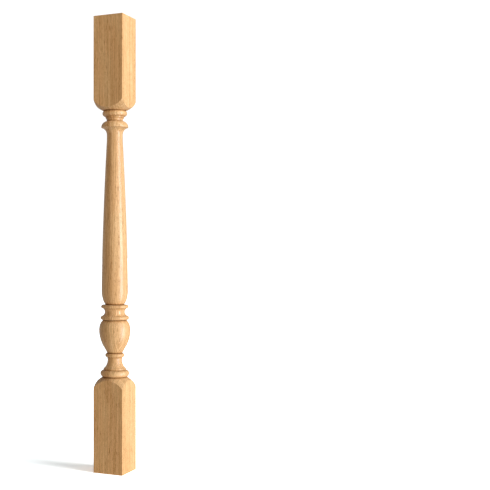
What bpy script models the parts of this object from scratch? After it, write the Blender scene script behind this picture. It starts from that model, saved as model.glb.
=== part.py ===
"""Turned stair baluster in solid oak, modelled as a turner makes it.

A square blank of timber is mounted in a lathe by its two ends. The middle is turned to a
profile of beads, hollows and a vase, and a square block is left at each end. The shape is
therefore the square blank intersected with a solid of revolution, which is wider than the
blank's corners wherever the blank stays square.

Metres, +Z up. The origin is the middle of the underside, on the axis of the lathe.
"""

import math

import bpy

# Driving dimensions of the blank.
HEIGHT = 0.9000
SIDE = 0.0630
LOWER_BLOCK = 0.1669
UPPER_BLOCK = 0.1650

# Rounded shoulders, where a block ends and the turning starts. The lean is the angle between
# the shoulder and the axis at the blank's corner.
LOWER_SHOULDER_RADIUS = 0.0560
LOWER_SHOULDER_LEAN = math.radians(30.0)
UPPER_SHOULDER_RADIUS = 0.0380
UPPER_SHOULDER_LEAN = math.radians(24.5)

# Foot of the turning: a large bead, a fillet and a hollow that rises to the waist. A reach
# is always a radius from the axis, and a valley is the groove between a shoulder and a bead.
FOOT_BEAD_MIDDLE = 0.1943
FOOT_BEAD_RADIUS = 0.0068
FOOT_BEAD_REACH = 0.0286
FOOT_VALLEY_REACH = 0.0238
FOOT_FILLET_TOP = 0.2043
FOOT_FILLET_REACH = 0.0222
WAIST_REACH = 0.0143
WAIST_LOW = 0.2220
FOOT_HOLLOW_WIDTH = 0.0130
FOOT_HOLLOW_RISE = 0.0190

# Small bead between the waist and the vase.
SMALL_BEAD_MIDDLE = 0.2302
SMALL_BEAD_RADIUS = 0.0040
SMALL_BEAD_REACH = 0.0191

# Vase: a straight flare, a long curve to the widest place, and a rounded crown.
VASE_SEAT_REACH = 0.0146
VASE_WIDEST = 0.2806
VASE_REACH = 0.0312
VASE_CURVE_RADIUS = 0.0660
VASE_CURVE_SWEEP = math.radians(27.5)
VASE_CROWN_HEIGHT = 0.0210
VASE_CROWN_DEPTH = 0.0135
VASE_TOP = 0.2998

# Collar: a bead, a deep hollow and a second bead.
COLLAR_LOW_BEAD_MIDDLE = 0.3041
COLLAR_LOW_BEAD_UNDER_RADIUS = 0.0037
COLLAR_LOW_BEAD_RADIUS = 0.0042
COLLAR_LOW_BEAD_REACH = 0.0284
COLLAR_HOLLOW_MIDDLE = 0.3160
COLLAR_HOLLOW_RADIUS = 0.0081
COLLAR_HOLLOW_REACH = 0.0199
COLLAR_TOP_BEAD_MIDDLE = 0.3265
COLLAR_TOP_BEAD_RADIUS = 0.0035
COLLAR_TOP_BEAD_REACH = 0.0274

# Shaft: a rounded lower end, then a long taper that bows outwards a little.
SHAFT_SEAT_REACH = 0.0182
SHAFT_WIDEST = 0.3580
SHAFT_REACH = 0.0263
SHAFT_ROUND_HEIGHT = 0.0300
SHAFT_ROUND_DEPTH = 0.0137
SHAFT_NARROWEST = 0.6560
SHAFT_NECK_REACH = 0.0159
SHAFT_BOW = 0.0015

# Cap of the shaft: a hollow that flares to a sharp edge, and a quarter round above it.
CAP_HOLLOW_LOW = 0.6675
CAP_EDGE_LOW = 0.6812
CAP_ROUND_MIDDLE = 0.6820
CAP_ROUND_RADIUS = 0.0120
CAP_REACH = 0.0269

# Neck, fillet and bead under the upper block.
NECK_REACH = 0.0162
NECK_TOP = 0.6955
NECK_HOLLOW_TOP = 0.7003
NECK_HOLLOW_REACH = 0.0178
HEAD_FILLET_REACH = 0.0186
HEAD_FILLET_TOP = 0.7028
HEAD_BEAD_MIDDLE = 0.7092
HEAD_BEAD_RADIUS = 0.0058
HEAD_BEAD_REACH = 0.0246
HEAD_VALLEY_REACH = 0.0220

# How finely round shapes are divided, and how far the lathe form runs past the blank at its
# ends and at its corners.
SIDES = 40
CHORD_ERROR = 0.0001
OVERRUN = 0.0050
OUTSIDE = 0.0020
MERGE_DISTANCE = 0.00001
SHARP_ANGLE = math.radians(32.0)
QUARTER = math.pi / 2.0

# Finish of the timber.
OAK_COLOR = (0.66, 0.40, 0.17, 1.0)
OAK_ROUGHNESS = 0.45


def arc(reach, height, width, rise, start, end):
    """Points on an arc round the centre (reach, height), with half axes width and rise.

    Angles start at straight out from the axis and grow upwards. The arc has just enough
    chords to stay within CHORD_ERROR of the true curve.
    """
    step = 2.0 * math.acos(1.0 - CHORD_ERROR / max(width, rise))
    count = max(1, math.ceil(abs(end - start) / step))
    points = []
    for index in range(count + 1):
        angle = start + (end - start) * index / count
        points.append((reach + width * math.cos(angle), height + rise * math.sin(angle)))
    return points


def bead(reach, middle, radius, start, end):
    """Part of a round bead whose outermost point is at the given reach."""
    return arc(reach - radius, middle, radius, radius, start, end)


def hollow(narrow, wide):
    """Quarter hollow that leaves the point narrow straight up and ends at the point wide."""
    depth = wide[0] - narrow[0]
    rise = wide[1] - narrow[1]
    radius = (depth * depth + rise * rise) / (2.0 * depth)
    sweep = math.asin(rise / radius)
    return arc(narrow[0] + radius, narrow[1], radius, radius, math.pi, math.pi - sweep)


def mirrored(points, height):
    """The same points turned upside down about a height, still listed from low to high."""
    flipped = [(reach, 2.0 * height - z) for reach, z in points]
    flipped.reverse()
    return flipped


def shoulder(corner_height, neck_reach, radius, lean):
    """Convex arc from the blank's corner up to the neck, for a block that lies below.

    It starts a little outside the corner, where the blank has no wood.
    """
    corner_reach = SIDE / math.sqrt(2.0)
    center_reach = corner_reach - radius * math.cos(lean)
    center_height = corner_height - radius * math.sin(lean)
    start = math.acos((corner_reach + OUTSIDE - center_reach) / radius)
    end = math.acos((neck_reach - center_reach) / radius)
    return arc(center_reach, center_height, radius, radius, start, end)


def foot():
    """Shoulder of the lower block, beads, fillet, and hollow up to the waist."""
    valley = FOOT_VALLEY_REACH
    dip = math.acos((valley - FOOT_BEAD_REACH + FOOT_BEAD_RADIUS) / FOOT_BEAD_RADIUS)
    points = shoulder(LOWER_BLOCK, valley, LOWER_SHOULDER_RADIUS, LOWER_SHOULDER_LEAN)
    points += bead(FOOT_BEAD_REACH, FOOT_BEAD_MIDDLE, FOOT_BEAD_RADIUS, -dip, QUARTER)
    points += [(FOOT_FILLET_REACH, FOOT_BEAD_MIDDLE + FOOT_BEAD_RADIUS)]
    center = WAIST_REACH + FOOT_HOLLOW_WIDTH
    start = math.pi + math.asin((WAIST_LOW - FOOT_FILLET_TOP) / FOOT_HOLLOW_RISE)
    rising = arc(center, WAIST_LOW, FOOT_HOLLOW_WIDTH, FOOT_HOLLOW_RISE, start, math.pi)
    points += [(FOOT_FILLET_REACH, FOOT_FILLET_TOP)] + rising[1:]
    points += bead(SMALL_BEAD_REACH, SMALL_BEAD_MIDDLE, SMALL_BEAD_RADIUS, -QUARTER, QUARTER)
    return points


def vase():
    """Straight flare, long curve to the widest place, and elliptical crown."""
    center = VASE_REACH - VASE_CURVE_RADIUS
    radius = VASE_CURVE_RADIUS
    curve = arc(center, VASE_WIDEST, radius, radius, -VASE_CURVE_SWEEP, 0.0)
    flare_start = (VASE_SEAT_REACH, SMALL_BEAD_MIDDLE + SMALL_BEAD_RADIUS)
    crown_end = math.asin((VASE_TOP - VASE_WIDEST) / VASE_CROWN_HEIGHT)
    crown_center = VASE_REACH - VASE_CROWN_DEPTH
    crown = arc(crown_center, VASE_WIDEST, VASE_CROWN_DEPTH, VASE_CROWN_HEIGHT, 0.0, crown_end)
    return [flare_start] + curve + crown[1:]


def collar(seat_reach):
    """Lower bead over a narrow step, hollow that flows out of it, and upper bead."""
    hollow_center = COLLAR_HOLLOW_REACH + COLLAR_HOLLOW_RADIUS
    bead_center = COLLAR_LOW_BEAD_REACH - COLLAR_LOW_BEAD_RADIUS
    join = math.atan2(COLLAR_HOLLOW_MIDDLE - COLLAR_LOW_BEAD_MIDDLE, hollow_center - bead_center)
    radius = COLLAR_LOW_BEAD_UNDER_RADIUS
    points = [(seat_reach, COLLAR_LOW_BEAD_MIDDLE - radius)]
    points += bead(COLLAR_LOW_BEAD_REACH, COLLAR_LOW_BEAD_MIDDLE, radius, -QUARTER, 0.0)
    radius = COLLAR_LOW_BEAD_RADIUS
    rising = bead(COLLAR_LOW_BEAD_REACH, COLLAR_LOW_BEAD_MIDDLE, radius, 0.0, join)
    points += rising[1:]
    top_bead_low = COLLAR_TOP_BEAD_MIDDLE - COLLAR_TOP_BEAD_RADIUS
    end = math.asin((top_bead_low - COLLAR_HOLLOW_MIDDLE) / COLLAR_HOLLOW_RADIUS)
    radius = COLLAR_HOLLOW_RADIUS
    rest = arc(hollow_center, COLLAR_HOLLOW_MIDDLE, radius, radius, math.pi + join, math.pi - end)
    points += rest[1:]
    radius = COLLAR_TOP_BEAD_RADIUS
    points += bead(COLLAR_TOP_BEAD_REACH, COLLAR_TOP_BEAD_MIDDLE, radius, -QUARTER, QUARTER)
    return points


def shaft():
    """Rounded lower end on the collar, and a long taper bowed by SHAFT_BOW at its middle.

    The first point of the rounding is set on the collar's flat top.
    """
    seat_height = COLLAR_TOP_BEAD_MIDDLE + COLLAR_TOP_BEAD_RADIUS
    center = SHAFT_REACH - SHAFT_ROUND_DEPTH
    start = -math.acos((SHAFT_SEAT_REACH - center) / SHAFT_ROUND_DEPTH)
    points = arc(center, SHAFT_WIDEST, SHAFT_ROUND_DEPTH, SHAFT_ROUND_HEIGHT, start, 0.0)
    points[0] = (SHAFT_SEAT_REACH, seat_height)
    length = SHAFT_NARROWEST - SHAFT_WIDEST
    bow_radius = (length * length / 4.0 + SHAFT_BOW * SHAFT_BOW) / (2.0 * SHAFT_BOW)
    count = math.ceil(length / (2.0 * math.sqrt(2.0 * bow_radius * CHORD_ERROR)))
    for index in range(1, count + 1):
        part = index / count
        reach = SHAFT_REACH + (SHAFT_NECK_REACH - SHAFT_REACH) * part
        reach += 4.0 * SHAFT_BOW * part * (1.0 - part)
        points.append((reach, SHAFT_WIDEST + length * part))
    return points


def head():
    """Cap of the shaft, neck, fillet, bead, and shoulder of the upper block."""
    points = hollow((SHAFT_NECK_REACH, CAP_HOLLOW_LOW), (CAP_REACH, CAP_EDGE_LOW))
    round_end = math.acos((NECK_REACH - CAP_REACH + CAP_ROUND_RADIUS) / CAP_ROUND_RADIUS)
    points += bead(CAP_REACH, CAP_ROUND_MIDDLE, CAP_ROUND_RADIUS, 0.0, round_end)
    points += hollow((NECK_REACH, NECK_TOP), (NECK_HOLLOW_REACH, NECK_HOLLOW_TOP))
    points += [(HEAD_FILLET_REACH, NECK_HOLLOW_TOP)]
    points += [(HEAD_FILLET_REACH, HEAD_FILLET_TOP)]
    valley = HEAD_VALLEY_REACH
    dip = math.acos((valley - HEAD_BEAD_REACH + HEAD_BEAD_RADIUS) / HEAD_BEAD_RADIUS)
    points += bead(HEAD_BEAD_REACH, HEAD_BEAD_MIDDLE, HEAD_BEAD_RADIUS, -QUARTER, dip)
    block_low = HEIGHT - UPPER_BLOCK
    rising = shoulder(block_low, valley, UPPER_SHOULDER_RADIUS, UPPER_SHOULDER_LEAN)
    points += mirrored(rising, block_low)
    return points


def lathe_profile():
    """Whole outline as (reach, height) points, from top to bottom as Screw wants it."""
    points = foot() + vase()
    points += collar(points[-1][0])
    points += shaft() + head()
    blank_reach = points[0][0]
    points = [(0.0, -OVERRUN), (blank_reach, -OVERRUN)] + points
    points += [(blank_reach, HEIGHT + OVERRUN), (0.0, HEIGHT + OVERRUN)]
    points.reverse()
    return points


def clear_scene():
    for item in list(bpy.data.objects):
        bpy.data.objects.remove(item, do_unlink=True)


def new_collection(name):
    collection = bpy.data.collections.new(name)
    bpy.context.scene.collection.children.link(collection)
    return collection


def oak():
    """Clear-finished oak."""
    material = bpy.data.materials.new("oak")
    material.use_nodes = True
    shader = material.node_tree.nodes["Principled BSDF"]
    shader.inputs["Base Color"].default_value = OAK_COLOR
    shader.inputs["Roughness"].default_value = OAK_ROUGHNESS
    shader.inputs["Metallic"].default_value = 0.0
    return material


def lathe_form(collection, material):
    """Solid of revolution that the lathe leaves: the profile turned once round Z."""
    mesh = bpy.data.meshes.new("lathe_profile")
    points = lathe_profile()
    edges = [(index, index + 1) for index in range(len(points) - 1)]
    mesh.from_pydata([(reach, 0.0, height) for reach, height in points], edges, [])
    outline = bpy.data.objects.new("lathe_outline", mesh)
    collection.objects.link(outline)
    screw = outline.modifiers.new("turn", "SCREW")
    screw.axis = "Z"
    screw.angle = 2.0 * math.pi
    screw.steps = SIDES
    screw.render_steps = SIDES
    screw.use_merge_vertices = True
    screw.merge_threshold = MERGE_DISTANCE
    bpy.context.view_layer.update()
    evaluated = outline.evaluated_get(bpy.context.evaluated_depsgraph_get())
    turned_mesh = bpy.data.meshes.new_from_object(evaluated)
    turned_mesh.name = "lathe_form"
    turned_mesh.shade_smooth()
    turned_mesh.set_sharp_from_angle(angle=SHARP_ANGLE)
    turned_mesh.materials.append(material)
    form = bpy.data.objects.new("lathe_form", turned_mesh)
    form.hide_render = True
    form.display_type = "WIRE"
    collection.objects.link(form)
    bpy.data.objects.remove(outline, do_unlink=True)
    return form


def square_blank(collection, material):
    """Square length of timber standing on its end, before it is turned."""
    bpy.ops.mesh.primitive_cube_add(size=1.0, location=(0.0, 0.0, HEIGHT / 2.0))
    blank = bpy.context.object
    blank.name = "baluster"
    blank.data.name = "baluster"
    blank.scale = (SIDE, SIDE, HEIGHT)
    bpy.ops.object.transform_apply(location=False, rotation=False, scale=True)
    for old in list(blank.users_collection):
        old.objects.unlink(blank)
    collection.objects.link(blank)
    blank.data.materials.append(material)
    return blank


def main():
    clear_scene()
    parts = new_collection("turned_baluster")
    cutters = new_collection("cutters")
    wood = oak()
    baluster = square_blank(parts, wood)
    turned = baluster.modifiers.new("turned", "BOOLEAN")
    turned.operation = "INTERSECT"
    turned.solver = "EXACT"
    turned.object = lathe_form(cutters, wood)


main()
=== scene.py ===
# %% [markdown]
# # A turned oak baluster
#
# The object is one length of oak: a square block at each end, and beads, a vase and a long
# tapering shaft turned between them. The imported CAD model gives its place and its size. This
# lesson makes the same piece again as one fine surface, and then gives it grain and a finish.

# %% Load the frame
import math

import bmesh
import bpy
import numpy as np
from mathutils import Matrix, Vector


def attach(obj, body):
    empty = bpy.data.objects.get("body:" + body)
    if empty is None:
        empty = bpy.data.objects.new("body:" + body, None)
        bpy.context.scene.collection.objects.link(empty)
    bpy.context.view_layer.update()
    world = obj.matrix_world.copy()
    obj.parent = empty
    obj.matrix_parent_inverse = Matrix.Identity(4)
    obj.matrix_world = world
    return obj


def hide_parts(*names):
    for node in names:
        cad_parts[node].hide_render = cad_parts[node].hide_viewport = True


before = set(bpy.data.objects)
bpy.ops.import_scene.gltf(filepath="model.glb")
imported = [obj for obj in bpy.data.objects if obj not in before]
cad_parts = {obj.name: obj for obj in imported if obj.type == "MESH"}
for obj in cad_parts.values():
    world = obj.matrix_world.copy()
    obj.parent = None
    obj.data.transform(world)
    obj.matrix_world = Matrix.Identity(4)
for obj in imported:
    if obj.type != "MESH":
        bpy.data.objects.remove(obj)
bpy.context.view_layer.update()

# %% [markdown]
# ## Camera
#
# The photograph looks at the baluster from about half its height, with the two blocks turned
# so that one side is wide and dark and the other narrow and bright. Its upright edges stay
# parallel, so the camera is level. It could be turned to bring the object to the left of the
# picture, but that would slant what is level, so the lens is shifted instead.

# %% Set up the camera
# Lengths are in metres, and places in the photograph are in pixels.
PHOTO_SIZE = 490
CAMERA_AZIMUTH = math.radians(25.9)
CAMERA_DISTANCE = 1.937
CAMERA_HEIGHT = 0.4464
FOCAL_PIXELS = 975.7
AXIS_PIXEL = 114.8
HORIZON_PIXEL = 246.1
SENSOR = 36.0

lens = bpy.data.cameras.new("camera")
lens.sensor_width = SENSOR
lens.lens = FOCAL_PIXELS * SENSOR / PHOTO_SIZE
lens.shift_x = (PHOTO_SIZE / 2 - AXIS_PIXEL) / PHOTO_SIZE
lens.shift_y = (HORIZON_PIXEL - PHOTO_SIZE / 2) / PHOTO_SIZE
camera = bpy.data.objects.new("camera", lens)
camera.location = (
    CAMERA_DISTANCE * math.sin(CAMERA_AZIMUTH),
    -CAMERA_DISTANCE * math.cos(CAMERA_AZIMUTH),
    CAMERA_HEIGHT,
)
camera.rotation_euler = (math.radians(90), 0, CAMERA_AZIMUTH)
bpy.context.scene.collection.objects.link(camera)
bpy.context.scene.camera = camera
print("lens in mm:", round(lens.lens, 2), "shift:", round(lens.shift_x, 4))

# %% [markdown]
# ## Outline of the turning
#
# A turner works from an outline: how far the wood reaches from the axis at each height. Such
# an outline could be drawn by hand as a Bezier curve. Here it is put together from straight
# lines and arcs with named sizes, because beads and hollows are arcs on the real piece, and
# because the CAD solid is made from the same sizes.

# %% Arcs, beads and hollows
CHORD_ERROR = 0.00001
QUARTER = math.pi / 2
EXAMPLE_RADII = (0.005, 0.050)


def arc(reach, height, width, rise, start, end):
    """Points (reach + width cos t, height + rise sin t), with t running from start to end.

    Each step of t is 2 acos(1 - error / radius), so that no chord leaves the arc by more than
    the error.
    """
    step = 2 * math.acos(1 - CHORD_ERROR / max(width, rise))
    count = max(2, math.ceil(abs(end - start) / step))
    t = np.linspace(start, end, count + 1)
    return np.column_stack([reach + width * np.cos(t), height + rise * np.sin(t)])


def bead(reach, middle, radius, start, end):
    """Part of a circle whose outermost point is at reach."""
    return arc(reach - radius, middle, radius, radius, start, end)


def quarter_hollow(narrow, wide):
    """Arc that leaves the point narrow straight up and ends at the point wide.

    Its radius is (depth depth + rise rise) / (2 depth), and it sweeps asin(rise / radius).
    """
    depth, rise = wide[0] - narrow[0], wide[1] - narrow[1]
    radius = (depth * depth + rise * rise) / (2 * depth)
    sweep = math.asin(rise / radius)
    return arc(narrow[0] + radius, narrow[1], radius, radius, math.pi, math.pi - sweep)


for radius in EXAMPLE_RADII:
    print("points on a quarter round of", radius, "m:", len(bead(radius, 0, radius, 0, QUARTER)))

# %% [markdown]
# ## Shoulders of the blocks
#
# Where a block ends, the lathe rounds its four corners over. The rounded surface meets each
# flat side in an arch. The arch comes out clean if the rows of the mesh are chosen by where
# they meet the flat: a row that reaches R from the axis leaves a flat of half side a at the
# distance y from its middle, where R R = a a + y y.

# %% Shoulder rows
HEIGHT = 0.9000
SIDE = 0.0630
LOWER_BLOCK = 0.1669
UPPER_BLOCK = 0.1650
HALF_SIDE = SIDE / 2
SHOULDER_ROWS, ROW_CROWDING = 24, 1.5


def shoulder(corner_height, neck_reach, radius, lean):
    """Arc from the blank's corner up to the neck, its rows crowded where the arch starts.

    Seen from the arc's centre, the corner lies at this radius, lean above the level. A row
    that reaches R from the axis is sqrt(radius radius - (R - centre) (R - centre)) higher than
    the centre.
    """
    corner_reach = SIDE / math.sqrt(2)
    center_reach = corner_reach - radius * math.cos(lean)
    center_height = corner_height - radius * math.sin(lean)
    meets_flat = HALF_SIDE * (1 - np.linspace(0, 1, SHOULDER_ROWS) ** ROW_CROWDING)
    reach = np.hypot(HALF_SIDE, meets_flat)
    height = center_height + np.sqrt(radius**2 - (reach - center_reach) ** 2)
    start = math.acos((HALF_SIDE - center_reach) / radius)
    end = math.acos((neck_reach - center_reach) / radius)
    above = arc(center_reach, center_height, radius, radius, start, end)
    return np.vstack([np.column_stack([reach, height]), above[1:]])


# %% [markdown]
# ## From the foot to the head
#
# Above the lower block come a round bead, a narrow fillet, a hollow that runs up to a slim
# waist, and a small bead. Then follow the vase, a collar of two beads with a deep hollow between
# them, the long shaft, and a cap, a neck and a bead under the upper block. Each could be a lathe
# curve of its own. As arcs between named heights they join without a gap, and one size can be
# changed alone.

# %% Lower block's shoulder, foot bead, fillet and hollow
LOWER_SHOULDER_RADIUS, LOWER_SHOULDER_LEAN = 0.0560, math.radians(30.0)
FOOT_VALLEY_REACH = 0.0238
FOOT_BEAD_MIDDLE, FOOT_BEAD_RADIUS, FOOT_BEAD_REACH = 0.1943, 0.0068, 0.0286
FOOT_FILLET_TOP, FOOT_FILLET_REACH = 0.2043, 0.0222
WAIST_LOW, WAIST_REACH = 0.2220, 0.0143
FOOT_HOLLOW_WIDTH, FOOT_HOLLOW_RISE = 0.0130, 0.0190
SMALL_BEAD_MIDDLE, SMALL_BEAD_RADIUS, SMALL_BEAD_REACH = 0.2302, 0.0040, 0.0191

foot_center = FOOT_BEAD_REACH - FOOT_BEAD_RADIUS
foot_dip = math.acos((FOOT_VALLEY_REACH - foot_center) / FOOT_BEAD_RADIUS)
foot_crest = math.acos((FOOT_FILLET_REACH - foot_center) / FOOT_BEAD_RADIUS)
hollow_start = math.pi + math.asin((WAIST_LOW - FOOT_FILLET_TOP) / FOOT_HOLLOW_RISE)
foot_hollow = arc(
    WAIST_REACH + FOOT_HOLLOW_WIDTH, WAIST_LOW, FOOT_HOLLOW_WIDTH, FOOT_HOLLOW_RISE,
    hollow_start, math.pi,
)
foot = np.vstack([
    shoulder(LOWER_BLOCK, FOOT_VALLEY_REACH, LOWER_SHOULDER_RADIUS, LOWER_SHOULDER_LEAN),
    bead(FOOT_BEAD_REACH, FOOT_BEAD_MIDDLE, FOOT_BEAD_RADIUS, -foot_dip, foot_crest)[1:],
    [(FOOT_FILLET_REACH, FOOT_FILLET_TOP)],
    foot_hollow[1:],
    bead(SMALL_BEAD_REACH, SMALL_BEAD_MIDDLE, SMALL_BEAD_RADIUS, -QUARTER, QUARTER),
])
print("foot of the turning:", len(foot), "rows")

# %% Vase
VASE_SEAT_REACH = 0.0146
VASE_WIDEST, VASE_REACH, VASE_TOP = 0.2806, 0.0312, 0.2998
VASE_CURVE_RADIUS, VASE_CURVE_SWEEP = 0.0660, math.radians(27.5)
VASE_CROWN_HEIGHT, VASE_CROWN_DEPTH = 0.0210, 0.0135

crown_end = math.asin((VASE_TOP - VASE_WIDEST) / VASE_CROWN_HEIGHT)
vase = np.vstack([
    [(VASE_SEAT_REACH, SMALL_BEAD_MIDDLE + SMALL_BEAD_RADIUS)],
    bead(VASE_REACH, VASE_WIDEST, VASE_CURVE_RADIUS, -VASE_CURVE_SWEEP, 0),
    arc(VASE_REACH - VASE_CROWN_DEPTH, VASE_WIDEST, VASE_CROWN_DEPTH, VASE_CROWN_HEIGHT,
        0, crown_end)[1:],
])
print("vase:", len(vase), "rows")

# %% Collar: bead, deep hollow, bead
LOW_BEAD_MIDDLE, LOW_BEAD_REACH = 0.3041, 0.0284
LOW_BEAD_UNDER_RADIUS, LOW_BEAD_RADIUS = 0.0037, 0.0042
COLLAR_HOLLOW_MIDDLE, COLLAR_HOLLOW_RADIUS, COLLAR_HOLLOW_REACH = 0.3160, 0.0081, 0.0199
TOP_BEAD_MIDDLE, TOP_BEAD_RADIUS, TOP_BEAD_REACH = 0.3265, 0.0035, 0.0274

hollow_center = COLLAR_HOLLOW_REACH + COLLAR_HOLLOW_RADIUS
join = math.atan2(
    COLLAR_HOLLOW_MIDDLE - LOW_BEAD_MIDDLE, hollow_center - LOW_BEAD_REACH + LOW_BEAD_RADIUS
)
hollow_rise = TOP_BEAD_MIDDLE - TOP_BEAD_RADIUS - COLLAR_HOLLOW_MIDDLE
hollow_end = math.asin(hollow_rise / COLLAR_HOLLOW_RADIUS)
collar = np.vstack([
    [(vase[-1, 0], LOW_BEAD_MIDDLE - LOW_BEAD_UNDER_RADIUS)],
    bead(LOW_BEAD_REACH, LOW_BEAD_MIDDLE, LOW_BEAD_UNDER_RADIUS, -QUARTER, 0),
    bead(LOW_BEAD_REACH, LOW_BEAD_MIDDLE, LOW_BEAD_RADIUS, 0, join)[1:],
    arc(hollow_center, COLLAR_HOLLOW_MIDDLE, COLLAR_HOLLOW_RADIUS, COLLAR_HOLLOW_RADIUS,
        math.pi + join, math.pi - hollow_end)[1:],
    bead(TOP_BEAD_REACH, TOP_BEAD_MIDDLE, TOP_BEAD_RADIUS, -QUARTER, QUARTER)[1:],
])
print("collar:", len(collar), "rows")

# %% Shaft: rounded lower end and a long taper that bows out a little
SHAFT_SEAT_REACH = 0.0182
SHAFT_WIDEST, SHAFT_REACH = 0.3580, 0.0263
SHAFT_ROUND_HEIGHT, SHAFT_ROUND_DEPTH = 0.0300, 0.0137
SHAFT_NARROWEST, SHAFT_NECK_REACH, SHAFT_BOW = 0.6560, 0.0159, 0.0015
SHAFT_ROWS = 36

round_center = SHAFT_REACH - SHAFT_ROUND_DEPTH
round_start = -math.acos((SHAFT_SEAT_REACH - round_center) / SHAFT_ROUND_DEPTH)
shaft_round = arc(
    round_center, SHAFT_WIDEST, SHAFT_ROUND_DEPTH, SHAFT_ROUND_HEIGHT, round_start, 0
)
# Its lowest point is moved down onto the collar's upper bead.
shaft_round[0] = (SHAFT_SEAT_REACH, TOP_BEAD_MIDDLE + TOP_BEAD_RADIUS)
# With t from 0 to 1 up the taper, its reach is a straight line plus the bow 4 b t (1 - t).
t = np.linspace(0, 1, SHAFT_ROWS)[1:]
taper_reach = SHAFT_REACH + (SHAFT_NECK_REACH - SHAFT_REACH) * t
taper_reach += 4 * SHAFT_BOW * t * (1 - t)
taper_height = SHAFT_WIDEST + (SHAFT_NARROWEST - SHAFT_WIDEST) * t
shaft = np.vstack([shaft_round, np.column_stack([taper_reach, taper_height])])
print("shaft:", len(shaft), "rows")

# %% Head: cap, neck, fillet, bead and the upper block's shoulder
CAP_HOLLOW_LOW, CAP_EDGE_LOW = 0.6675, 0.6812
CAP_ROUND_MIDDLE, CAP_ROUND_RADIUS, CAP_REACH = 0.6820, 0.0120, 0.0269
NECK_REACH, NECK_TOP = 0.0162, 0.6955
NECK_HOLLOW_TOP, NECK_HOLLOW_REACH = 0.7003, 0.0178
HEAD_FILLET_REACH, HEAD_FILLET_TOP = 0.0186, 0.7028
HEAD_BEAD_MIDDLE, HEAD_BEAD_RADIUS, HEAD_BEAD_REACH = 0.7092, 0.0058, 0.0246
HEAD_VALLEY_REACH = 0.0220
UPPER_SHOULDER_RADIUS, UPPER_SHOULDER_LEAN = 0.0380, math.radians(24.5)

cap_center = CAP_REACH - CAP_ROUND_RADIUS
cap_end = math.acos((NECK_REACH - cap_center) / CAP_ROUND_RADIUS)
head_center = HEAD_BEAD_REACH - HEAD_BEAD_RADIUS
head_dip = math.acos((HEAD_VALLEY_REACH - head_center) / HEAD_BEAD_RADIUS)
upper_block_low = HEIGHT - UPPER_BLOCK
# The shoulder is made upwards from a corner, then turned over at the upper block's low edge.
upper_shoulder = shoulder(
    upper_block_low, HEAD_VALLEY_REACH, UPPER_SHOULDER_RADIUS, UPPER_SHOULDER_LEAN
)[::-1]
upper_shoulder[:, 1] = 2 * upper_block_low - upper_shoulder[:, 1]
head = np.vstack([
    quarter_hollow((SHAFT_NECK_REACH, CAP_HOLLOW_LOW), (CAP_REACH, CAP_EDGE_LOW)),
    bead(CAP_REACH, CAP_ROUND_MIDDLE, CAP_ROUND_RADIUS, 0, cap_end),
    quarter_hollow((NECK_REACH, NECK_TOP), (NECK_HOLLOW_REACH, NECK_HOLLOW_TOP)),
    [(HEAD_FILLET_REACH, NECK_HOLLOW_TOP), (HEAD_FILLET_REACH, HEAD_FILLET_TOP)],
    bead(HEAD_BEAD_REACH, HEAD_BEAD_MIDDLE, HEAD_BEAD_RADIUS, -QUARTER, head_dip),
    upper_shoulder[1:],
])
print("head:", len(head), "rows")

# %% [markdown]
# ## Edges that sandpaper has touched
#
# No edge on a finished turning is perfectly sharp: sandpaper takes about a quarter of a
# millimetre off. A Bevel modifier could do it, but it would also touch the arches and the
# grooves, which stay crisp. So only the outline's outward corners are rounded, each by a short
# curve that leaves one line and joins the next.

# %% Ease the outward corners of the outline
EASED, EASED_POINTS = 0.00025, 5
CORNER_TURN = math.radians(24)
# A cut takes at most this share of the shorter line beside it. The kept points lie the share
# BESIDE_CUT of it further out. Turns are held below SHARPEST, where the tangent grows too large.
MOST_OF_LINE, BESIDE_CUT, SHARPEST = 0.36, 0.25, 3.0
SAME_PLACE = 1e-8


def corner_turns(path):
    """Angle by which the outline turns at each inner point, above zero at outward corners."""
    step = np.diff(path, axis=0)
    before, after = step[:-1], step[1:]
    cross = before[:, 0] * after[:, 1] - before[:, 1] * after[:, 0]
    return np.arctan2(cross, np.sum(before * after, axis=1))


def ease_corners(path):
    """Replace each outward corner P by the curve (1-s)(1-s) A + 2 s (1-s) P + s s B.

    A and B lie on the lines before and after P. One more point is kept on each line, just
    outside the curve, so that the lines stay flat when they are shaded.
    """
    before, after = path[1:-1] - path[:-2], path[2:] - path[1:-1]
    length_before = np.linalg.norm(before, axis=1)
    length_after = np.linalg.norm(after, axis=1)
    before, after = before / length_before[:, None], after / length_after[:, None]
    turn = corner_turns(path)
    is_corner = turn > CORNER_TURN
    shorter = np.minimum(length_before, length_after)
    cut = np.minimum(EASED * np.tan(np.clip(turn, 0, SHARPEST) / 2), MOST_OF_LINE * shorter)
    cut = np.where(is_corner, cut, 0)[:, None, None]
    corner = path[1:-1][:, None, :]
    s = np.linspace(0, 1, EASED_POINTS)[None, :, None]
    start, end = corner - cut * before[:, None, :], corner + cut * after[:, None, :]
    curve = (1 - s) ** 2 * start + 2 * s * (1 - s) * corner + s**2 * end
    flat_before = start - BESIDE_CUT * cut * before[:, None, :]
    flat_after = end + BESIDE_CUT * cut * after[:, None, :]
    rows = np.concatenate([flat_before, curve, flat_after], axis=1).reshape(-1, 2)
    rows = np.vstack([path[:1], rows, path[-1:]])
    moved = np.linalg.norm(np.diff(rows, axis=0), axis=1) > SAME_PLACE
    print("outward corners eased:", int(is_corner.sum()))
    return rows[np.concatenate([[True], moved])]


# %% Put the outline together and ease it
outline = np.vstack([foot, vase, collar, shaft, head])
turned_rows = ease_corners(outline)
inward = corner_turns(outline) < -CORNER_TURN
grooves, groove_turns = outline[1:-1][inward], np.abs(corner_turns(outline)[inward])
print("rows of the turning:", len(turned_rows), "grooves:", len(grooves))

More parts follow.
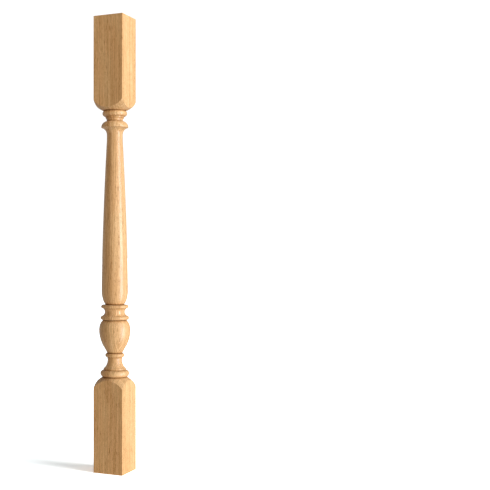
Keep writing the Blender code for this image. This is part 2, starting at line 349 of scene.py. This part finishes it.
# %% [markdown]
# ## Rows of the two blocks
#
# On a block the wood is the square blank itself, so those rows have no outline: their reach is
# larger than the blank's corner, and only the size of the square counts. At each end of the
# baluster the square shrinks in a quarter round, and then to a point on the axis, which closes
# the end. Two boxes joined to the turning would leave seams, while rows of the same grid make
# one surface with it.

# %% Put all rows together
ARRIS, ARRIS_POINTS = 0.0005, 5
# One more row or column at this distance from an eased edge keeps the flat beside it flat.
HOLD = 0.0004
BLOCK_ROWS = 9
FAR_REACH = 1.0

quarter = np.linspace(0, QUARTER, ARRIS_POINTS)
end_scale = 1 - ARRIS * (1 - np.sin(quarter)) / HALF_SIDE
end_height = ARRIS * (1 - np.cos(quarter))
end_scale = np.concatenate([[0, (HALF_SIDE - ARRIS - HOLD) / HALF_SIDE], end_scale, [1]])
end_height = np.concatenate([[0, 0], end_height, [ARRIS + HOLD]])
lower_rows = np.linspace(ARRIS + HOLD, LOWER_BLOCK, BLOCK_ROWS)[1:-1]
upper_rows = np.linspace(upper_block_low, HEIGHT - ARRIS - HOLD, BLOCK_ROWS)[1:-1]

row_height = np.concatenate(
    [end_height, lower_rows, turned_rows[:, 1], upper_rows, HEIGHT - end_height[::-1]]
)
row_reach = np.full(len(row_height), FAR_REACH)
first_turned = len(end_height) + len(lower_rows)
row_reach[first_turned:first_turned + len(turned_rows)] = turned_rows[:, 0]
row_scale = np.ones(len(row_height))
row_scale[:len(end_scale)] = end_scale
row_scale[-len(end_scale):] = end_scale[::-1]
print("rows in all:", len(row_height))

# %% [markdown]
# ## The surface
#
# Seen from above, the wood at one height is a square with slightly rounded arrises, cut down
# by a circle. An eighth of that outline is enough, and the rest is its mirror image. Each row
# has the same columns: some on the flat, some on the arris and some on the circle. Where a row
# has no flat or no circle, those columns fall together and are merged afterwards. A Boolean of
# a square and a turned solid gives the same shape, but with long thin triangles that shade
# badly. This way the mesh follows the arches.

# %% Columns of one eighth
SIDES = 4
ARRIS_COLUMNS, ROUND_COLUMNS = 4, 16
EIGHTH = math.pi / 4
ARRIS_CENTER = (HALF_SIDE - ARRIS) * math.sqrt(2)
ARRIS_START = math.atan2(HALF_SIDE - ARRIS, HALF_SIDE)


def square_reach(angle):
    """Distance from the axis to the eased square: a / cos(angle) on the flat.

    Over the arris it is c cos(d) + sqrt(e e - c c sin(d) sin(d)), where d is the angle from
    the diagonal, c is the distance to the arris's own centre and e is its radius.
    """
    d = EIGHTH - angle
    under = np.maximum(ARRIS**2 - (ARRIS_CENTER * np.sin(d)) ** 2, 0)
    rounded = ARRIS_CENTER * np.cos(d) + np.sqrt(under)
    return np.where(angle <= ARRIS_START, HALF_SIDE / np.cos(angle), rounded)


def crease_angle(reach):
    """Angle at which a circle of this reach leaves the eased square.

    On the flat it is acos(a / R). On the arris it is where that circle crosses the arris's
    own, which the law of cosines gives.
    """
    on_flat = np.arccos(np.clip(HALF_SIDE / reach, -1, 1))
    cosine = (reach**2 + ARRIS_CENTER**2 - ARRIS**2) / (2 * reach * ARRIS_CENTER)
    on_arris = EIGHTH - np.arccos(np.clip(cosine, -1, 1))
    widest = ARRIS_CENTER + ARRIS
    angle = np.where(on_flat <= ARRIS_START, on_flat, on_arris)
    return np.where(reach >= widest, EIGHTH, angle)


print("the flat ends at", round(math.degrees(ARRIS_START), 2), "of 45 degrees")

# %% Work out the grid
# Half a flat has four columns: its middle, one at the first share of its width, one at HOLD
# from its edge (or at the second share, if the flat is narrow), and its edge.
MIDDLE_SHARE, OUTER_SHARE = 0.5, 0.8

crease = crease_angle(row_reach)[:, None]
flat_end = np.minimum(crease, ARRIS_START)
flat_edge = HALF_SIDE * np.tan(flat_end)
across = np.hstack([
    np.zeros_like(flat_edge), MIDDLE_SHARE * flat_edge,
    np.maximum(flat_edge - HOLD, OUTER_SHARE * flat_edge), flat_edge,
])
flat_angles = np.arctan2(across, HALF_SIDE)
arris_angles = flat_end + (crease - flat_end) * np.linspace(0, 1, ARRIS_COLUMNS + 1)[1:]
round_angles = crease + (EIGHTH - crease) * np.linspace(0, 1, ROUND_COLUMNS + 1)[1:]
eighth = np.hstack([flat_angles, arris_angles, round_angles])
eighth_reach = np.minimum(row_reach[:, None], row_scale[:, None] * square_reach(eighth))

side = np.hstack([eighth, 2 * EIGHTH - eighth[:, -2::-1]])
side_reach = np.hstack([eighth_reach, eighth_reach[:, -2::-1]])
angle = np.hstack([side[:, :-1] + number * QUARTER for number in range(SIDES)])
reach = np.tile(side_reach[:, :-1], (1, SIDES))
height = np.broadcast_to(row_height[:, None], reach.shape)
points = np.stack([reach * np.cos(angle), reach * np.sin(angle), height], axis=-1)
print("grid:", reach.shape[0], "rows by", reach.shape[1], "columns")


# %% A helper that closes a grid
def closed_grid(name, points, merge):
    """Quads between neighbouring rows, with the last column joined to the first.

    Point (row, column) has the index row * columns + column, so the four corners of a quad
    are that index, its right neighbour, and the two above them.
    """
    rows, columns = points.shape[:2]
    index = np.arange(rows * columns).reshape(rows, columns)
    right = np.roll(index, -1, axis=1)
    quads = np.stack([index[:-1], right[:-1], right[1:], index[1:]], axis=-1).reshape(-1, 4)
    mesh = bpy.data.meshes.new(name)
    mesh.from_pydata(points.reshape(-1, 3).tolist(), [], quads.tolist())
    work = bmesh.new()
    work.from_mesh(mesh)
    bmesh.ops.remove_doubles(work, verts=work.verts, dist=merge)
    bmesh.ops.dissolve_degenerate(work, edges=work.edges, dist=merge)
    bmesh.ops.recalc_face_normals(work, faces=work.faces)
    work.to_mesh(mesh)
    open_edges = sum(not edge.is_manifold for edge in work.edges)
    work.free()
    print(name, "faces:", len(mesh.polygons), "open edges:", open_edges)
    return mesh


# %% Turn the grid into one closed mesh
MERGE = 0.000002
SHARP_ANGLE = math.radians(30)
wood_mesh = closed_grid("turned_baluster", points, MERGE)
wood_mesh.shade_smooth()
wood_mesh.set_sharp_from_angle(angle=SHARP_ANGLE)
baluster = bpy.data.objects.new("turned_baluster", wood_mesh)
bpy.context.scene.collection.objects.link(baluster)
wood_mesh.calc_loop_triangles()
print("triangles:", len(wood_mesh.loop_triangles))

# %% [markdown]
# ## How steeply the tool crossed the fibres
#
# Wood fibres run along the baluster. Where the turned surface lies across them, on the
# shoulders and on the upper and lower sides of the beads, the open fibres drink the finish.
# They end up duller and, in the photograph, a little paler. A shader could read the normal
# itself, but that one would change if the baluster were laid down. So each face corner gets a
# number: how far its normal points along the axis, from 0 on an upright surface to 1 on an end.

# %% Store the amount of end grain on the mesh
normals = np.empty(len(wood_mesh.loops) * 3, dtype=np.float32)
wood_mesh.corner_normals.foreach_get("vector", normals)
end_grain = np.abs(normals.reshape(-1, 3)[:, 2])
layer = wood_mesh.attributes.new("end_grain", "FLOAT", "CORNER")
layer.data.foreach_set("value", np.ascontiguousarray(end_grain))
print("end grain from", round(float(end_grain.min()), 3), "to", round(float(end_grain.max()), 3))

# %% [markdown]
# ## Oak
#
# Clear-finished oak is honey coloured. Each growth ring starts with a line of large open pores,
# which shows as a fine dark line, and between these lines run pale fibres and short dark pores,
# all drawn out along the piece. On the photographed baluster the lines run straight down each
# flat side, and where two sides meet, on the corner, those of one side turn into those of the
# other. That is why the vase has long pointed arches and the shoulders have chevrons. An image
# of wood would slide over the beads, but a pattern in solid space is cut by the shape as timber
# is. So the pattern reads the place in the wood: how far along the side, how far out, how high.

# %% Start the material, and a helper that adds a node
oak = bpy.data.materials.new("oak")
oak.use_nodes = True
tree = oak.node_tree
tree.nodes.clear()
print("material:", oak.name)


def put(kind, inputs=None, **settings):
    """Add a node, set its options, and set or link its inputs."""
    node = tree.nodes.new(kind)
    for name, value in settings.items():
        setattr(node, name, value)
    for name, value in (inputs or {}).items():
        if isinstance(value, bpy.types.NodeSocket):
            tree.links.new(value, node.inputs[name])
        else:
            node.inputs[name].default_value = value
    return node


# %% Helpers that work with numbers
def calculate(operation, first, second=0.0, third=0.0):
    """One Math node: first (operation) second, or first * second + third."""
    values = {0: first, 1: second, 2: third}
    return put("ShaderNodeMath", values, operation=operation).outputs[0]


def remap(value, low, high, new_low, new_high):
    """Carry the range low..high over to new_low..new_high, smoothly and held at its ends."""
    inputs = {"Value": value, "From Min": low, "From Max": high}
    inputs.update({"To Min": new_low, "To Max": new_high})
    node = put("ShaderNodeMapRange", inputs, interpolation_type="SMOOTHSTEP")
    return node.outputs["Result"]


def between(amount, first, second):
    """Number that goes from first to second as amount goes from 0 to 1."""
    return calculate("MULTIPLY_ADD", amount, calculate("SUBTRACT", second, first), first)


def product(first, *others):
    """All of these numbers multiplied together."""
    for other in others:
        first = calculate("MULTIPLY", first, other)
    return first


def strongest(marks):
    """Largest of the marks, each multiplied by its weight."""
    largest = 0.0
    for mark, weight in marks:
        largest = calculate("MAXIMUM", largest, product(mark, weight))
    return largest


# %% Place in the timber, in millimetres
MILLIMETRES = 1000.0
HALF_HEIGHT = MILLIMETRES * HEIGHT / 2
SAWN_DEPTH = (0.30, 0.05)

place = put("ShaderNodeTexCoord").outputs["Object"]
to_millimetres = {"Vector": place, "Scale": (MILLIMETRES, MILLIMETRES, MILLIMETRES)}
timber = put("ShaderNodeMapping", to_millimetres).outputs[0]
axes = put("ShaderNodeSeparateXYZ", {"Vector": timber})
x, y, z = axes.outputs["X"], axes.outputs["Y"], axes.outputs["Z"]
x_size, y_size = calculate("ABSOLUTE", x), calculate("ABSOLUTE", y)
on_y_side = calculate("GREATER_THAN", y_size, x_size)
along_y_side = product(calculate("SIGN", y), -1.0, x)
along_x_side = product(calculate("SIGN", x), -1.0, y)
sideways = between(on_y_side, along_x_side, along_y_side)
outward = calculate("MAXIMUM", x_size, y_size)
from_middle = calculate("ABSOLUTE", calculate("SUBTRACT", z, HALF_HEIGHT))
sawn_start, sawn_full = (HALF_HEIGHT - depth for depth in SAWN_DEPTH)
sawn_end = remap(from_middle, sawn_start, sawn_full, 0, 1)
print("end grain is drawn from", SAWN_DEPTH[0], "mm inside each end")

# %% Noise in space, and noise that follows the fibres of one side
SIDE_STEP = 30.0
SIDE_TILT = 0.6

# The number that tells the sides apart is (x + SIDE_TILT y) / SIDE_STEP.
own_side = calculate("DIVIDE", calculate("MULTIPLY_ADD", y, SIDE_TILT, x), SIDE_STEP)


def cloud(across, along, detail=2.0):
    """Noise in space with features of these sizes, in mm: across the piece and along it."""
    scale = (1 / across, 1 / across, 1 / along)
    sized = put("ShaderNodeMapping", {"Vector": timber, "Scale": scale})
    inputs = {"Vector": sized.outputs[0], "Scale": 1.0, "Detail": detail}
    return put("ShaderNodeTexNoise", inputs).outputs["Fac"]


def fibre(width, depth, length, detail=2.0, roughness=0.5):
    """Noise that follows the lines of a side: its width, depth and length are in mm.

    Its fourth number drifts with the place, so that the four sides differ.
    """
    sizes = (calculate("DIVIDE", sideways, width), calculate("DIVIDE", outward, depth),
             calculate("DIVIDE", z, length))
    vector = put("ShaderNodeCombineXYZ", dict(zip("XYZ", sizes)))
    inputs = {"Vector": vector.outputs[0], "W": own_side, "Scale": 1.0,
              "Detail": detail, "Roughness": roughness}
    return put("ShaderNodeTexNoise", inputs, noise_dimensions="4D").outputs["Fac"]


def along_number(number, scale):
    """Noise that depends on one number only."""
    inputs = {"W": product(number, scale), "Scale": 1.0, "Detail": 1.0, "Roughness": 0.5}
    return put("ShaderNodeTexNoise", inputs, noise_dimensions="1D").outputs["Fac"]


# %% [markdown]
# ## Growth rings
#
# Counting the rings along a side gives a number that grows by one per ring. It grows faster
# towards the corner that faces the camera, where the photograph shows the lines closer together,
# and towards the corner opposite. A Wave texture could draw such lines, but all alike. Here slow
# and quick noise bends them, and the part after the decimal point says where in its ring a point
# lies, while the whole number gives each ring its own strength.
# Between the rings run much thinner lines, which are noise of the same number. On the two sawn
# ends the rings are arcs round the heart of the tree, as on every sawn board. No picture shows
# the ends, so where that heart lies is a guess.

# %% Count the rings
RING_RATE = 0.385
RING_CROWDING = 0.0022
HEART = (-95.0, 80.0)
# Each bend of the lines: size across and along in mm, detail, and how many rings it shifts.
BENDS = ((70, 190, 1.0, 2.60), (12, 45, 2.0, 0.55), (2.2, 9, 2.0, 0.24), (0.8, 3.5, 1.0, 0.12))
UNEVEN_SCALE, UNEVEN_RINGS = 0.5, 2.4

# At s millimetres along a side the count is s (RING_RATE + RING_CROWDING s).
counted = product(calculate("MULTIPLY_ADD", sideways, RING_CROWDING, RING_RATE), sideways)
heart_x, heart_y = calculate("SUBTRACT", x, HEART[0]), calculate("SUBTRACT", y, HEART[1])
squares = calculate("MULTIPLY_ADD", heart_x, heart_x, product(heart_y, heart_y))
counted = between(sawn_end, counted, product(calculate("SQRT", squares), RING_RATE))
for across, along, detail, rings in BENDS:
    counted = calculate("MULTIPLY_ADD", cloud(across, along, detail), rings, counted)
ring = calculate("MULTIPLY_ADD", along_number(counted, UNEVEN_SCALE), UNEVEN_RINGS, counted)
print("rings across one side:", round(RING_RATE * SIDE * MILLIMETRES))

# %% Draw the line at the start of each ring
# Place in the ring, and how dark the wood is there.
RING_PROFILE = ((0.05, 0.95), (0.10, 0.32), (0.22, 0.14), (0.60, 0.05), (0.95, 0.0))
FAINTEST_RING = 0.40
BREAK_SIZE, BREAK_FADE, BREAK_LEFT = (1.0, 12, 25), (0.34, 0.52), 0.40
THIN_SCALE, THIN_FADE = 5.0, (0.38, 0.28)

ring_part, ring_number = calculate("FRACT", ring), calculate("FLOOR", ring)
ring_random = put("ShaderNodeTexWhiteNoise", {"W": ring_number}, noise_dimensions="1D")
ring_strength = between(ring_random.outputs["Value"], FAINTEST_RING, 1.0)
early_wood = put("ShaderNodeValToRGB", {"Fac": ring_part})
ramp = early_wood.color_ramp
ramp.elements[0].color = (1, 1, 1, 1)
for position, value in RING_PROFILE:
    ramp.elements.new(position).color = (value, value, value, 1)
broken = remap(fibre(*BREAK_SIZE), *BREAK_FADE, BREAK_LEFT, 1.0)
ring_line = product(early_wood.outputs["Color"], ring_strength, broken)
thin_lines = along_number(ring, THIN_SCALE)
thin_line = product(remap(thin_lines, *THIN_FADE, 0, 1), broken)
print("marks on the ring's ramp:", len(ramp.elements))

# %% [markdown]
# ## Pores and fibres
#
# Oak's pores are cut lengthwise by the surface, and show as fine dark strokes that gather in
# some places and leave others free. Between them pale and darker fibres lie side by side. One
# stretched noise could stand for both, but strokes are sharp and few while fibres are soft
# and everywhere, so each has its own size and its own fade.

# %% Dark strokes and pores
# Width, depth and length in mm, then the detail, and the noise values where the mark fades in.
STROKE_SIZE, STROKE_FADE = (0.45, 8, 12, 1.0), (0.58, 0.65)
PORE_SIZE, PORE_FADE = (0.30, 4, 3.5, 0.0), (0.62, 0.72)
GATHER_SIZE, GATHER_FADE, GATHER_LEFT = (4.0, 20, 70, 1.0), (0.40, 0.60), 0.25
RING_WEIGHT, STROKE_WEIGHT, THIN_WEIGHT, PORE_WEIGHT = 0.95, 0.85, 0.75, 0.55

gathered = remap(fibre(*GATHER_SIZE), *GATHER_FADE, GATHER_LEFT, 1.0)
stroke = product(remap(fibre(*STROKE_SIZE), *STROKE_FADE, 0, 1), gathered)
pore = remap(fibre(*PORE_SIZE), *PORE_FADE, 0, 1)
dark = strongest((
    (ring_line, RING_WEIGHT), (stroke, STROKE_WEIGHT), (thin_line, THIN_WEIGHT),
    (pore, PORE_WEIGHT),
))
print("nodes with rings, strokes and pores:", len(tree.nodes))

# %% Pale and darker fibres
NOISE_LOW, NOISE_HIGH = 0.30, 0.70
BAND_SIZE, BAND_TONES = (2.4, 20, 110, 1.0), (0.90, 1.08)
LONG_SIZE, LONG_TONES = (1.6, 12, 60, 1.0), (0.94, 1.05)
FINE_SIZE, FINE_TONES = (0.5, 8, 9, 2.0, 0.6), (0.83, 1.09)
THIN_TONES = (0.92, 1.06)

fine_fibre = fibre(*FINE_SIZE)
tone = product(
    remap(fibre(*BAND_SIZE), NOISE_LOW, NOISE_HIGH, *BAND_TONES),
    remap(fibre(*LONG_SIZE), NOISE_LOW, NOISE_HIGH, *LONG_TONES),
    remap(fine_fibre, NOISE_LOW, NOISE_HIGH, *FINE_TONES),
    remap(thin_lines, NOISE_LOW, NOISE_HIGH, *THIN_TONES),
)
lowest_tones = [tones[0] for tones in (BAND_TONES, LONG_TONES, FINE_TONES, THIN_TONES)]
print("darkest fibre:", round(math.prod(lowest_tones), 2), "of the plain wood")

# %% [markdown]
# ## Grooves
#
# Two beads never meet in a clean line: sanding dust and a little more finish stay in the
# groove between them, and little light gets in, so each groove shows as a thin dark brown line,
# darkest where the corner is sharpest. That line is partly a real stain and partly painted shade.
# It could be painted by height alone, but then the flat tops of the beads would darken too. The
# outline knows every inward corner, so the material measures how near a point is to the nearest
# one. The line sits a little above the corner, on the wall that faces down and gets the least
# light, and corners that lie close together count as one. Round each narrow line the wood is
# faintly darker for a few millimetres: that is painted shade, for the light the beads keep off.

# %% Distance to the nearest groove, in millimetres
# A narrow line of real stain and painted shade, lifted above the corner, and a wider pool of
# painted shade.
STAIN_AND_SHADE_WIDTH, STAIN_AND_SHADE_LIFT, STAIN_AND_SHADE_CORE = 1.5, 0.4, 0.2
PAINTED_SHADE_WIDTH, PAINTED_SHADE_SHARE = 5.5, 0.60
CLOSE_TOGETHER = 2.3
# How far a corner turns, with those close to it added, and how dark its stain and painted shade
# then are.
GROOVE_TURNS, GROOVE_STRENGTHS = np.radians([25, 60, 85, 100]), (0.36, 0.55, 0.56, 1.00)

from_axis = calculate("SQRT", calculate("MULTIPLY_ADD", y, y, product(x, x)))
spot = put("ShaderNodeCombineXYZ", {"X": from_axis, "Y": z}).outputs[0]
groove_corners = MILLIMETRES * grooves
groove_heights = groove_corners[:, 1]
close_by = np.abs(groove_heights[:, None] - groove_heights[None, :]) < CLOSE_TOGETHER
groove_strengths = np.interp(close_by @ groove_turns, GROOVE_TURNS, GROOVE_STRENGTHS)
groove_stain_and_shade = 0.0
for (reach, height), strength in zip(groove_corners.tolist(), groove_strengths.tolist()):
    ends = {0: spot, 1: (reach, height + STAIN_AND_SHADE_LIFT, 0.0)}
    distance = put("ShaderNodeVectorMath", ends, operation="DISTANCE").outputs["Value"]
    # The narrow line: partly real stain, partly painted shade.
    stain_and_shade = remap(distance, STAIN_AND_SHADE_CORE, STAIN_AND_SHADE_WIDTH, strength, 0)
    # The wider pool is painted shade. Only the second half of its fade is used, so it falls
    # fastest beside the groove.
    painted_shade = remap(distance, -PAINTED_SHADE_WIDTH, PAINTED_SHADE_WIDTH, 2 * PAINTED_SHADE_SHARE * strength, 0)
    groove_stain_and_shade = calculate("MAXIMUM", groove_stain_and_shade, calculate("MAXIMUM", stain_and_shade, painted_shade))
    print(f"groove at {height:.1f} mm: {strength:.2f}")

# %% [markdown]
# ## Colour
#
# In the photograph a darker spot of the wood isn't greyer. Where green falls to a share s of
# the plain wood, red falls only to about s to the power 0.7, and blue to s to the power 1.6.
# Mixing towards one dark brown is simpler, but turns the half-dark lines pink. So lines, pores
# and grooves are first put together as one share of light, and the colour follows from it.

# %% Gather all darkening into one share of light
DARKEST_LINE, DARKEST_GROOVE_STAIN_AND_SHADE = 0.84, 0.94
END_GRAIN_SIZE, END_GRAIN_FADE, END_GRAIN_TONES = 0.5, (0.25, 0.75), (0.62, 0.86)
SHOULDER_FADE, SHOULDER_TONE = (0.2, 0.7), 1.06

share = product(calculate("MULTIPLY_ADD", dark, -DARKEST_LINE, 1.0), tone)
end_pores = remap(cloud(END_GRAIN_SIZE, END_GRAIN_SIZE), *END_GRAIN_FADE, *END_GRAIN_TONES)
share = between(sawn_end, share, end_pores)
cut_across = put("ShaderNodeAttribute", attribute_name="end_grain").outputs["Fac"]
on_shoulder = remap(cut_across, *SHOULDER_FADE, 1.0, SHOULDER_TONE)
# Each groove's stain and painted shade darken the colour here, and dull the coat below.
outside_stain_and_shade = calculate("MULTIPLY_ADD", groove_stain_and_shade, -DARKEST_GROOVE_STAIN_AND_SHADE, 1.0)
share = product(share, on_shoulder, outside_stain_and_shade)
print("share of light left by the darkest line:", round(1 - DARKEST_LINE, 2))

# %% Turn the share into a colour
HONEY = (0.745, 0.440, 0.195, 1)
ROSY = (0.725, 0.400, 0.165, 1)
PATCH_SIZE, PATCH_FADE = (24, 110), (0.35, 0.65)
RED_POWER, BLUE_POWER = 0.72, 1.65
# A Mix node has sockets for numbers, vectors and colours. These are the ones for colours.
MIX_AMOUNT, MIX_FIRST, MIX_SECOND, MIX_RESULT = 0, 6, 7, 2


def blend(amount, first, second, mode="MIX"):
    """Colour that goes from first to the mix with second as amount goes from 0 to 1."""
    inputs = {MIX_AMOUNT: amount, MIX_FIRST: first, MIX_SECOND: second}
    node = put("ShaderNodeMix", inputs, data_type="RGBA", blend_type=mode)
    return node.outputs[MIX_RESULT]


red, blue = calculate("POWER", share, RED_POWER), calculate("POWER", share, BLUE_POWER)
light = put("ShaderNodeCombineColor", {"Red": red, "Green": share, "Blue": blue}).outputs[0]
wood = blend(remap(cloud(*PATCH_SIZE), *PATCH_FADE, 0, 1), HONEY, ROSY)
wood = blend(1.0, wood, light, "MULTIPLY")
half_dark = [round(part * 0.5**power, 3) for part, power in zip(HONEY, (RED_POWER, 1, BLUE_POWER))]
print("honey coloured wood at half its light:", half_dark)

# %% [markdown]
# ## Finish
#
# The turned parts carry a clear, crisp line of light, so they are under a thin satin coat. The
# flat sides show no such line: they were only planed, while the rest was rubbed on the lathe,
# and where the tool crossed the fibres the finish soaked in. Stained grooves are dull too. One
# gloss for all would be simpler, but it would make the flat sides shine like the shaft, so the
# coat's weight and the roughness follow these places. Pores and lines lie less than a tenth of a
# millimetre deep, too little to model, so a Bump node only bends the light there.

# %% Satin coat over fine relief
# Millimetres outwards: the flat sides lie at 31.5, and what is turned stays inside them.
PLANED_FADE = (31.25, 31.45)
TURNED_ROUGHNESS, PLANED_ROUGHNESS, DARK_ROUGHNESS = 0.56, 0.80, 0.15
STAIN_ROUGHNESS = 0.95
COAT, SOAKED_COAT, SOAKED_FADE, PLANED_COAT_SHARE = 0.35, 0.10, (0.0, 0.7), 0.12
COAT_ROUGHNESS, SPECULAR_LEVEL = 0.09, 0.6
RELIEF_DEPTH, RELIEF_STRENGTH, FIBRE_RELIEF = 0.0001, 0.4, 0.3

planed = remap(outward, *PLANED_FADE, 0, 1)
roughness = between(planed, TURNED_ROUGHNESS, PLANED_ROUGHNESS)
roughness = calculate("MULTIPLY_ADD", dark, DARK_ROUGHNESS, roughness)
roughness = between(outside_stain_and_shade, STAIN_ROUGHNESS, roughness)
coat = remap(cut_across, *SOAKED_FADE, COAT, SOAKED_COAT)
coat = product(coat, between(planed, 1.0, PLANED_COAT_SHARE), outside_stain_and_shade)
relief = calculate("SUBTRACT", product(fine_fibre, FIBRE_RELIEF), dark)
bump = put("ShaderNodeBump", {
    "Height": relief,
    "Strength": RELIEF_STRENGTH,
    "Distance": RELIEF_DEPTH,
})
shader = put("ShaderNodeBsdfPrincipled", {
    "Base Color": wood,
    "Roughness": roughness,
    "Normal": bump.outputs[0],
    "Coat Weight": coat,
    "Coat Roughness": COAT_ROUGHNESS,
    "Specular IOR Level": SPECULAR_LEVEL,
})
put("ShaderNodeOutputMaterial", {"Surface": shader.outputs[0]})
wood_mesh.materials.append(oak)
print("oak nodes:", len(tree.nodes))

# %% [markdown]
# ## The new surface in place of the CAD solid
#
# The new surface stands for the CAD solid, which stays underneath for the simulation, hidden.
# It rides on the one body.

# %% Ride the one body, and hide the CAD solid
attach(baluster, "root")
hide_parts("baluster")
print("dressed piece:", baluster.name)

# %% [markdown]
# ## Floor
#
# The photograph was taken on white paper and overexposed, so that only a short pale wedge of
# shadow shows on it. Paper so bright would flood the undersides of the wood with light. So the
# floor is plain paper for the wood, while the camera sees a brighter surface with a faint glow.
# The lamps' tints would show in that shadow, so the colours of the paper and of the glow cancel
# them. The floor blocks no light and isn't mirrored in the finish.

# %% Floor
FLOOR_HALF = 30.0

floor_mesh = bpy.data.meshes.new("floor")
floor_corners = [
    (-FLOOR_HALF, -FLOOR_HALF, 0), (FLOOR_HALF, -FLOOR_HALF, 0),
    (FLOOR_HALF, FLOOR_HALF, 0), (-FLOOR_HALF, FLOOR_HALF, 0),
]
floor_mesh.from_pydata(floor_corners, [], [(0, 1, 2, 3)])
floor = bpy.data.objects.new("floor", floor_mesh)
floor.visible_shadow = False
floor.visible_glossy = False
bpy.context.scene.collection.objects.link(floor)
print("floor side in metres:", 2 * FLOOR_HALF)

# %% White paper
PAPER = (0.75, 0.75, 0.75, 1)
OVEREXPOSED_PAPER = (2.73, 2.46, 2.18, 1)
GLOW_COLOR, GLOW_STRENGTH = (0.50, 0.93, 1.20, 1), 0.26

white_paper = bpy.data.materials.new("white_paper")
white_paper.use_nodes = True
tree = white_paper.node_tree
tree.nodes.clear()
camera_ray = put("ShaderNodeLightPath").outputs["Is Camera Ray"]
for_wood = put("ShaderNodeBsdfDiffuse", {"Color": PAPER})
overexposed = put("ShaderNodeBsdfDiffuse", {"Color": OVEREXPOSED_PAPER})
glow = put("ShaderNodeEmission", {"Color": GLOW_COLOR, "Strength": GLOW_STRENGTH})
for_camera = put("ShaderNodeAddShader", {0: overexposed.outputs[0], 1: glow.outputs[0]})
shaders = {0: camera_ray, 1: for_wood.outputs[0], 2: for_camera.outputs[0]}
seen = put("ShaderNodeMixShader", shaders)
put("ShaderNodeOutputMaterial", {"Surface": seen.outputs[0]})
floor_mesh.materials.append(white_paper)
print("paper nodes:", len(tree.nodes))

# %% [markdown]
# ## Light
#
# One tall soft light stands to the right of the camera. It lights the narrow side and draws the
# bright line down the shaft. Undersides are nearly as bright as upper sides, so it reaches down
# below the floor's level too. One area lamp that tall would light the near floor more than the
# far floor, so a column of sun lamps with wide discs stands for it. A weak broad light from the
# front lifts the dark side. The last one comes from behind, where the camera doesn't see its
# effect: it stands for the white wall there, and shows the back in other views.

# %% A helper for one lamp
def sun(name, to_the_right, elevation, disc, strength, color):
    """Sun lamp whose light comes from this direction, out of a disc this wide.

    Angles are in degrees: to the right of the camera as seen from the object, and upwards.
    """
    lamp = bpy.data.lights.new(name, "SUN")
    lamp.energy = strength
    lamp.color = color
    lamp.angle = math.radians(disc)
    around = CAMERA_AZIMUTH + math.radians(to_the_right)
    up = math.radians(elevation)
    level = math.cos(up)
    toward = Vector((math.sin(around) * level, -math.cos(around) * level, math.sin(up)))
    light = bpy.data.objects.new(name, lamp)
    light.rotation_euler = toward.to_track_quat("Z", "Y").to_euler()
    bpy.context.scene.collection.objects.link(light)
    return light


# %% Lamps
KEY_SIDE, KEY_DISC, KEY_STRENGTH, KEY_COLOR = 61, 31, 5.7, (0.90, 1.0, 1.13)
KEY_LOWEST, KEY_HIGHEST, KEY_STEP = -24, 48, 12
KEY_TOP_SHARE = 0.32
FILL_SIDE, FILL_DISC, FILL_STRENGTH = -2, 80, 1.08
BACK_SIDE, BACK_ELEVATION, BACK_DISC, BACK_STRENGTH = -172, -8, 12, 1.9
WARM = (1.05, 0.99, 0.91)

elevations = np.arange(KEY_LOWEST, KEY_HIGHEST + 1, KEY_STEP)
shares = np.interp(elevations, (KEY_LOWEST, KEY_HIGHEST), (1.0, KEY_TOP_SHARE))
key_strengths = KEY_STRENGTH * shares / shares.sum()
for number, (elevation, strength) in enumerate(zip(elevations.tolist(), key_strengths.tolist())):
    sun(f"key_{number}", KEY_SIDE, elevation, KEY_DISC, strength, KEY_COLOR)
fill = sun("fill", FILL_SIDE, 0, FILL_DISC, FILL_STRENGTH, WARM)
back = sun("back", BACK_SIDE, BACK_ELEVATION, BACK_DISC, BACK_STRENGTH, WARM)
fill.visible_glossy = False
back.visible_glossy = False
print("lamps in the column:", len(elevations))

# %% [markdown]
# ## Surroundings
#
# Round rims mirror the white background behind the object, but the dark side shows no sheen, so
# the room before the object was dark. An image of a studio would give both. A plain World does
# it with three strengths: white for the camera, weak as light, and for mirrored rays white
# behind the object and almost black before it.

# %% White behind, dark before
WHITE = (1, 1, 1, 1)
SEEN, AMBIENT = 1.1, 0.12
MIRRORED_BEHIND, MIRRORED_BEFORE = 0.60, 0.02
BEHIND_FADE = (-0.2, 0.5)

world = bpy.data.worlds.new("studio")
world.use_nodes = True
tree = world.node_tree
tree.nodes.clear()
away = (-math.sin(CAMERA_AZIMUTH), math.cos(CAMERA_AZIMUTH), 0.0)
direction = put("ShaderNodeTexCoord").outputs["Generated"]
dot_product = put("ShaderNodeVectorMath", {0: direction, 1: away}, operation="DOT_PRODUCT")
behind = dot_product.outputs["Value"]
mirrored = remap(behind, *BEHIND_FADE, MIRRORED_BEFORE, MIRRORED_BEHIND)
ray = put("ShaderNodeLightPath")
as_light = between(ray.outputs["Is Glossy Ray"], AMBIENT, mirrored)
as_seen = product(ray.outputs["Is Camera Ray"], SEEN)
brightness = calculate("MAXIMUM", as_light, as_seen)
background = put("ShaderNodeBackground", {"Color": WHITE, "Strength": brightness})
put("ShaderNodeOutputWorld", {"Surface": background.outputs[0]})
bpy.context.scene.world = world
bpy.context.scene.view_settings.view_transform = "Standard"
print("world nodes:", len(tree.nodes))
